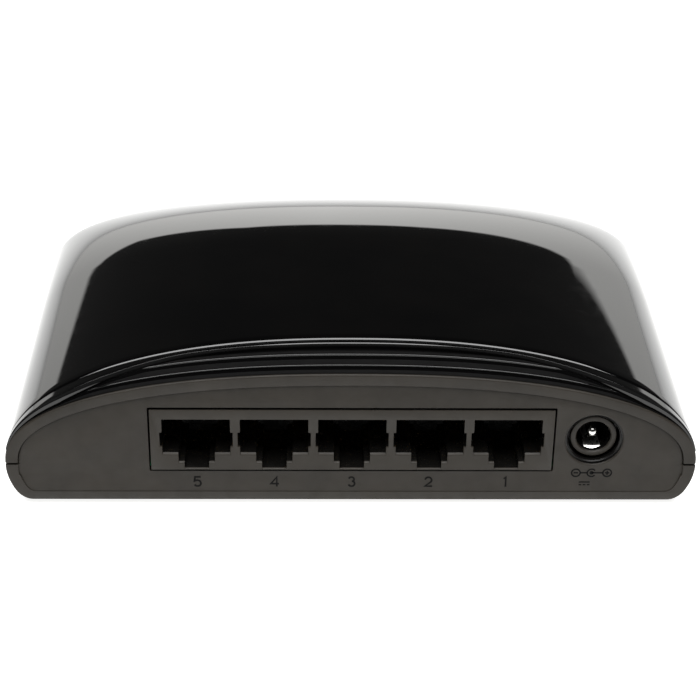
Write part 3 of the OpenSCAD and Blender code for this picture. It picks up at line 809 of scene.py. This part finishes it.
def make_base():
    """Tray, rear panel, screw posts and board posts in one moulding."""
    top = PARTING_LOW
    edge_r = 0.3                            # of the edge between the panel and the underside

    def panel_edge(z):
        return math.sqrt(max(0, edge_r ** 2 - (edge_r - min(z, edge_r)) ** 2)) - edge_r

    rings = [tray_ring(d, z, -WALL) for d, z in reversed(tray_levels(WALL)) if z < top - 0.1]
    rings += [tray_ring(WALL, top, -WALL), tray_ring(0.2, top, -0.1), tray_ring(0.05, top - 0.06, 0)]
    rings += [tray_ring(d, z, panel_edge(z)) for d, z in tray_levels(0) if z < top - 0.1]
    tray = new_object("tray", *skin(rings))

    outline = arch_points(HALF_W - RIM_T - PANEL_SEAM, RIM_TOP - RIM_T - PANEL_SEAM, 200)
    inner = arch_points(HALF_W - RIM_T - PANEL_SEAM - 0.4, RIM_TOP - RIM_T - PANEL_SEAM - 0.4, 200)
    low = PARTING - 2
    plate_rings = []
    for points, y in ((outline, -WALL + 0.01), (outline, -PANEL_IN - 0.12), (inner, -PANEL_IN)):
        loop = [(x, y, z) for x, z in points]
        plate_rings.append(loop + [(points[-1][0], y, low), (points[0][0], y, low)])
    plate = new_object("plate", *skin(plate_rings))
    case_post = [(0.01, 0.8), (3.6, 0.8), (3.6, top), (0.01, top)]
    board_under = BOARD_TOP - 1.62
    board_post = [(0.01, 1.0), (2.9, 1.0), (2.6, 2.4), (2.6, board_under), (0.01, board_under)]
    posts = [lathe_z("post", case_post, x, y) for x, y in SCREW_AT]
    posts += [lathe_z("post", board_post, x, y) for x, y in BOARD_POST_AT]
    carve(tray, [plate] + posts, "UNION")

    gap = 0.35
    cut_out = rounded_rectangle(-BLOCK_HALF_W - gap, BLOCK_HALF_W + gap, BOARD_TOP - gap, BLOCK_TOP + gap, 0.3)
    cutters = [panel_recess(), prism("cut", cut_out, -4, 2)]
    hole = [(0.01, -4), (4.7, -4), (4.7, -1.0), (4.85, -0.85), (4.95, -0.95), (5.2, -0.95), (5.2, -0.6),
            (5.3, -0.45), (5.46, -PANEL_IN), (5.46, 2), (0.01, 2)]
    cutters.append(lathe_y("cut", hole, JACK_X, JACK_Z))
    screw_well = [(0.01, -1), (3.2, -1), (3.2, 0), (3.0, 0.2), (3.0, 3), (1.75, 3), (1.75, 9), (0.01, 9)]
    foot_well = [(0.01, -1), (5.2, -1), (5.1, 0.1), (5.1, 0.6), (0.01, 0.6)]
    cutters += [lathe_z("cut", screw_well, x, y) for x, y in SCREW_AT]
    cutters += [lathe_z("cut", foot_well, x, y) for x, y in FOOT_AT]
    cutters += [vent(x) for x in range(-24, 25, 6)]
    carve(tray, cutters)
    tray.name = "matte_base"
    # painted shade on the walls of the jack's hole and its counterbore
    mark_opening_shade(tray, lambda p: p.y < -PANEL_IN - 0.3 and (p.x - JACK_X) ** 2 + (p.z - JACK_Z) ** 2 < 5.6 ** 2)
    return finish_piece(tray, "matte_black", replaces=["base_case"])


def vent(x):
    """A cutter for one slot with round ends through the floor."""
    outline = arc(x, -45.2, 1.2, 0, 180, 10) + arc(x, -60.8, 1.2, 180, 360, 10)
    rings = [[(px, py, z) for px, py in outline] for z in (-1, 4)]
    return new_object("cut", *skin(rings))


def panel_y(z):
    """Where the panel's face lies at the height z: deeper upwards."""
    return -0.1 - (PANEL_IN - 0.1) * min(1, (z - PANEL_BORDER) / (PARTING - 2 - PANEL_BORDER))


def panel_recess():
    """A cutter that sets the panel's face back inside a border along the sides and the bottom."""
    levels = [(d + RIM_T - PANEL_BORDER, z) for d, z in tray_levels(PANEL_BORDER) if z < PARTING - 2.1][::-1]
    levels += [(RIM_T, PARTING - 2), (RIM_T, PARTING + 2)]
    rings = []
    for d, z in levels:
        x, y = HALF_W - d, panel_y(z)
        rings.append([(-x, y, z), (x, y, z), (x, 1, z), (-x, 1, z)])
    return new_object("cut", *skin(rings))


# ---------------------------------------------------------------- ports


def port_outline(px, flare):
    """The port's stepped opening at px, in x and z; flare, 0 to 1, lowers its floors at the mouth."""
    ledge, step, latch = 10.03 - 0.32 * flare, 8.22 - 0.24 * flare, 6.8 - 0.16 * flare
    half = [(6.1, 17.17), (6.1, 14.41), (6.54, 14.41), (6.54, 11.43), (6.11, 11.43), (6.11, ledge),
            (3.26, ledge), (3.26, step), (2.2, step), (2.2, latch)]
    return [(px + x, z) for x, z in half] + [(px - x, z) for x, z in reversed(half)]


def make_port_block():
    """The five ganged ports, with slots in their roofs for the spring wires and pegs into the board."""
    body = block("port_block", (-BLOCK_HALF_W, -BLOCK_LENGTH + BLOCK_FACE, BOARD_TOP),
                 (BLOCK_HALF_W, BLOCK_FACE, BLOCK_TOP))
    cutters = []
    for px in PORT_X:
        rings = [[(x, y, z) for x, z in port_outline(px, flare)]
                 for y, flare in ((-13.1, 0), (BLOCK_FACE - 0.4, 0), (BLOCK_FACE, 1), (2, 1))]
        cutters.append(new_object("cut", *skin(rings)))
        cutters.append(block("cut", (px - 4.5, -13.1, 17.0), (px + 4.5, -3.2, 18.9)))
        cutters.append(block("cut", (px - 5, -20, BOARD_TOP - 1), (px + 5, -13.9, 18.9)))
        cutters.append(block("cut", (px - 4.5, -14.2, 17.6), (px + 4.5, -12.9, 18.9)))
    carve(body, cutters)
    soften(body, 0.1)
    outline = [(0.01, -2.4), (0.8, -2.6), (1, -2.2), (1, 0.3), (0.01, 0.3)]
    peg = [(r, BOARD_TOP + z) for r, z in outline]
    pegs = [lathe_z("peg", peg, px + s * 4.6, -9, 32) for px in PORT_X for s in (-1, 1)]
    body = join([body] + pegs, "port_block")
    # painted shade on the walls of the port openings
    mark_opening_shade(body, lambda p: p.y < BLOCK_FACE - 0.42)
    return finish_piece(body, "port_black", replaces=["port_housing"])


# ---------------------------------------------------------------- power jack


def make_jack():
    """The jack's body and its round nose."""
    face = JACK_FACE
    r = 4.2
    profile = [(JACK_BORE, face - 3), (JACK_BORE, face - 0.25), (JACK_BORE + 0.2, face), (r - 0.3, face),
               (r - 0.09, face - 0.09), (r, face - 0.3), (r, face - 3)]
    nose = lathe_y("jack_body", profile, JACK_X, JACK_Z)
    front = face - 1.5
    body = block("jack_block", (JACK_X - 4.4, -15.9, BOARD_TOP), (JACK_X + 4.4, front, JACK_Z + 4.3))
    cutters = [lathe_y("cut", [(0.01, -12.9), (JACK_BORE, -12.9), (JACK_BORE, 2), (0.01, 2)], JACK_X, JACK_Z),
               block("cut", (JACK_X - 2.2, -12.9, JACK_Z - 4.1), (JACK_X + 2.2, -2.2, JACK_Z)),
               block("cut", (JACK_X - 0.72, -20, JACK_Z - 0.72), (JACK_X + 0.72, -12, JACK_Z + 0.72)),
               block("cut", (JACK_X - 1.25, -9.15, BOARD_TOP - 1), (JACK_X + 1.25, -8.65, JACK_Z)),
               block("cut", (JACK_X - 1.7, -20, BOARD_TOP - 1), (JACK_X + 1.7, -14, JACK_Z + 1.7))]
    carve(body, cutters)
    soften(body, 0.15)
    piece = join([body, nose], "power_jack")
    # painted shade on the walls of the jack's bore
    mark_opening_shade(piece, lambda p: p.y < face - 0.25)
    return finish_piece(piece, "port_black", replaces=["jack_housing"])


def make_jack_pin():
    """The centre pin with a domed tip, its square shank and its tail down through the board."""
    r, root, y = 1.05, -12.8, -3.7
    dome = [(r * math.cos(a), y + r * math.sin(a)) for a in np.linspace(0, math.pi / 2 - 0.05, 12)]
    pin = lathe_y("pin", [(0.01, root), (r, root)] + dome + [(0.01, y + r)], JACK_X, JACK_Z, 48)
    shank = block("shank", (JACK_X - 0.7, -14.8, JACK_Z - 0.7), (JACK_X + 0.7, root + 0.2, JACK_Z + 0.7))
    tail = block("tail", (JACK_X - 1.2, -14.8, 3), (JACK_X + 1.2, -14.4, JACK_Z))
    for piece in (shank, tail):
        soften(piece, 0.08)
    return finish_piece(join([pin, shank, tail], "jack_centre_pin"), "nickel", replaces=["jack_pin"])


def make_jack_leaf():
    """The sprung leaf in the jack's floor, whose front end bends down."""
    path = [(-11.9, -0.15), (-11.6, 0.0), (-9.0, 0.0), (-6.0, 0.0), (-4.0, 0.0), (-3.25, -0.02), (-3.05, -0.08),
            (-2.9, -0.2), (-2.62, -0.45), (-2.38, -0.66)]
    across = np.linspace(-1.5, 1.5, 21)
    rings = [[(JACK_X + x, y, JACK_Z - 2.72 + drop - depth + 0.06 * x * x)
              for depth, row in ((0.0, across), (0.28, across[::-1])) for x in row] for y, drop in path]
    leaf = new_object("jack_leaf_spring", *skin(rings))
    return finish_piece(leaf, "nickel", body="jack_leaf", replaces=["jack_spring"], material=LEAF_NICKEL)


# ---------------------------------------------------------------- spring contacts, feet, screws, window


def make_contacts():
    """The eight spring wires of each port, bent at their fixed end and rounded at the tip."""
    drop = math.radians(21)
    r = 0.21
    along = (0.0, 2.4, 4.8, 6.4, 6.9, 7.15, 7.27)
    sizes = (r, r, r, r, r * 0.92, r * 0.66, r * 0.15)
    turn = np.linspace(0, 2 * math.pi, 16, endpoint=False)
    for number, px in enumerate(PORT_X, 1):
        wires = []
        for k in range(8):
            x = px + (k - 3.5) * 1.02
            rings = []
            for d, size in zip(along, sizes):
                y, z = -4.0 - d * math.cos(drop), 17.55 - d * math.sin(drop)
                rings.append([(x + size * math.cos(a), y + size * math.sin(a) * math.sin(drop),
                               z + size * math.sin(a) * math.cos(drop)) for a in turn])
            wires.append(new_object("wire", *skin(rings)))
        finish_piece(join(wires, f"port_{number}_spring_wires"), "gold_contact", body=f"port_{number}_springs",
                     replaces=[f"port_{number}_contacts"])


def make_feet():
    """Round rubber feet with a soft rim and a shallow dished sole."""
    profile = [(0.01, -0.8), (3.2, -0.85), (3.9, -1.0), (4.4, -1.0), (4.75, -0.9), (4.95, -0.65), (5.0, -0.4),
               (5.0, 0.55), (0.01, 0.55)]
    feet = [lathe_z("foot", profile, x, y) for x, y in FOOT_AT]
    return finish_piece(join(feet, "feet"), "foot_rubber", replaces=["rubber_feet"], sharp=50)


def screw(x, y, z, head_r, head_h, shank_r, shank_l, up, cross):
    """A pan-head screw with a cross recess and a ridged shank; up is the way its head faces."""
    crown = [(head_r * math.cos(a), head_h * (0.45 + 0.55 * math.sin(a)))
             for a in np.linspace(0, math.pi / 2 - 0.02, 10)]
    ridges = []
    pitch = 0.8
    for k in range(int((shank_l - 0.8) / pitch)):
        low = -0.4 - k * pitch
        ridges += [(shank_r * 0.8, low), (shank_r, low - pitch * 0.35), (shank_r, low - pitch * 0.45),
                   (shank_r * 0.8, low - pitch * 0.8)]
    outline = ([(0.01, -shank_l), (shank_r * 0.6, -shank_l)] + ridges[::-1] + [(shank_r * 0.8, 0), (head_r, 0)]
               + crown + [(0.01, head_h)])
    profile = [(r, z + up * h) for r, h in outline]
    body = lathe_z("screw", profile, x, y, 40)
    low, high = sorted((z + up * head_h * 0.45, z + up * (head_h + 1)))
    across = [block("cut", (x - cross, y - 0.27, low), (x + cross, y + 0.27, high)),
              block("cut", (x - 0.27, y - cross, low), (x + 0.27, y + cross, high))]
    return carve(body, across)


def make_screws():
    case = [screw(x, y, 3.0, head_r=2.6, head_h=1.8, shank_r=1.5, shank_l=9.0, up=-1, cross=1.5)
            for x, y in SCREW_AT]
    board = [screw(x, y, BOARD_TOP, head_r=2.3, head_h=1.6, shank_r=1.2, shank_l=5.0, up=1, cross=1.3)
             for x, y in BOARD_POST_AT[:2]]
    finish_piece(join(case, "case_screw_set"), "plated_steel", replaces=["case_screws"])
    finish_piece(join(board, "board_screw_set"), "plated_steel", replaces=["board_screws"])


def make_window():
    """The smoked window, cut from the cover's own surface with a thin gap all round."""
    pane = open_surface("window_pane", cover_grid())
    bm = bmesh.new()
    bm.from_mesh(pane.data)
    bmesh.ops.remove_doubles(bm, verts=bm.verts, dist=1e-7)
    half, low, high = WINDOW_HALF_W - 0.1, WINDOW_Z[0] + 0.1, WINDOW_Z[1] - 0.1
    for point, normal in (((half, 0, 0), (1, 0, 0)), ((-half, 0, 0), (-1, 0, 0)), ((0, 0, low), (0, 0, -1)),
                          ((0, 0, high), (0, 0, 1)), ((0, -DEPTH / 2, 0), (0, 1, 0))):
        slice_off(bm, point, normal)
    thicken(bm, lambda vert: vert.co + Vector((0, 2.3 * MM, 0)))
    bm.to_mesh(pane.data)
    bm.free()
    return finish_piece(pane, "smoked_window", replaces=["led_window"])


# ---------------------------------------------------------------- markings


def stroke(points, width, closed=False):
    """A raised line of constant width through points in x and z on the panel."""
    p = np.asarray(points, float)
    ahead, behind = np.roll(p, -1, 0) - p, p - np.roll(p, 1, 0)
    if not closed:
        ahead[-1], behind[0] = behind[-1], ahead[0]
    ahead /= np.linalg.norm(ahead, axis=1)[:, None]
    behind /= np.linalg.norm(behind, axis=1)[:, None]
    middle = ahead + behind
    middle /= np.linalg.norm(middle, axis=1)[:, None]
    reach = width / 2 / np.maximum(0.5, np.sum(middle * ahead, 1))
    side = np.stack([-middle[:, 1], middle[:, 0]], 1) * reach[:, None]
    rings = []
    for (x, z), (dx, dz) in zip(p, side):
        front = panel_y(z) + 0.03
        back = front - 0.05
        near, far = (x + dx, z + dz), (x - dx, z - dz)
        rings.append([(near[0], front, near[1]), (far[0], front, far[1]),
                      (far[0], back, far[1]), (near[0], back, near[1])])
    return new_object("mark", *skin(rings, closed=closed))


def digit(number, x, z):
    """A plain digit 1.6 mm wide and 2.1 mm high, centred on x and standing on z, read from the rear."""
    shapes = {
        1: [[(-0.25, 1.65), (0.12, 2.0), (0.12, 0.0)]],
        2: [arc(0, 1.35, 0.6, 170, -35, 12) + [(-0.62, 0.1), (0.72, 0.1)]],
        3: [arc(-0.02, 1.5, 0.48, 160, -75, 12), arc(0, 0.62, 0.56, 80, -160, 12)],
        4: [[(0.4, 0.0), (0.4, 1.95), (-0.7, 0.58), (0.8, 0.58)]],
        5: [[(0.6, 1.98), (-0.42, 1.98), (-0.55, 1.12)] + arc(0, 0.68, 0.62, 125, -150, 12)],
    }
    return [stroke([(x - px, z + pz) for px, pz in line], 0.33) for line in shapes[number]]


def ring_points(r, x, z, start=0.0, end=352.5):
    return arc(x, z, r, start, end, 47)


def make_markings():
    """The port numbers, and the usual symbols for direct current and for a positive centre pin."""
    for number, px in enumerate(PORT_X, 1):
        finish_piece(join(digit(number, px, 2.85), f"digit_{number}"), "matte_black", material=MARKING)
    z, r, gap, w = 5.8, 0.78, 2.85, 0.27
    minus, centre, plus = JACK_X + gap, JACK_X, JACK_X - gap
    marks = [stroke(ring_points(r, minus, z), w, True), stroke([(minus - 0.42, z), (minus + 0.42, z)], w),
             stroke(ring_points(r, plus, z), w, True), stroke([(plus - 0.42, z), (plus + 0.42, z)], w),
             stroke([(plus, z - 0.42), (plus, z + 0.42)], w),
             stroke(ring_points(r, centre, z, -140, 140), w), stroke(ring_points(0.2, centre, z), 0.36, True),
             stroke([(centre + r, z), (minus - r, z)], w), stroke([(centre, z), (plus + r, z)], w)]
    x = JACK_X + 1.2
    marks.append(stroke([(x - 1.0, 3.85), (x + 1.0, 3.85)], 0.22))
    marks += [stroke([(x + d - 0.24, 3.3), (x + d + 0.24, 3.3)], 0.22) for d in (-0.76, 0, 0.76)]
    finish_piece(join(marks, "power_symbols"), "matte_black", material=MARKING)


make_camera()
make_world()
make_stage()
make_light()
dress_cad_nodes()
make_cover()
make_frame()
make_base()
make_port_block()
make_jack()
make_jack_pin()
make_jack_leaf()
make_contacts()
make_feet()
make_screws()
make_window()
make_markings()

bpy.context.scene.view_settings.view_transform = "Standard"
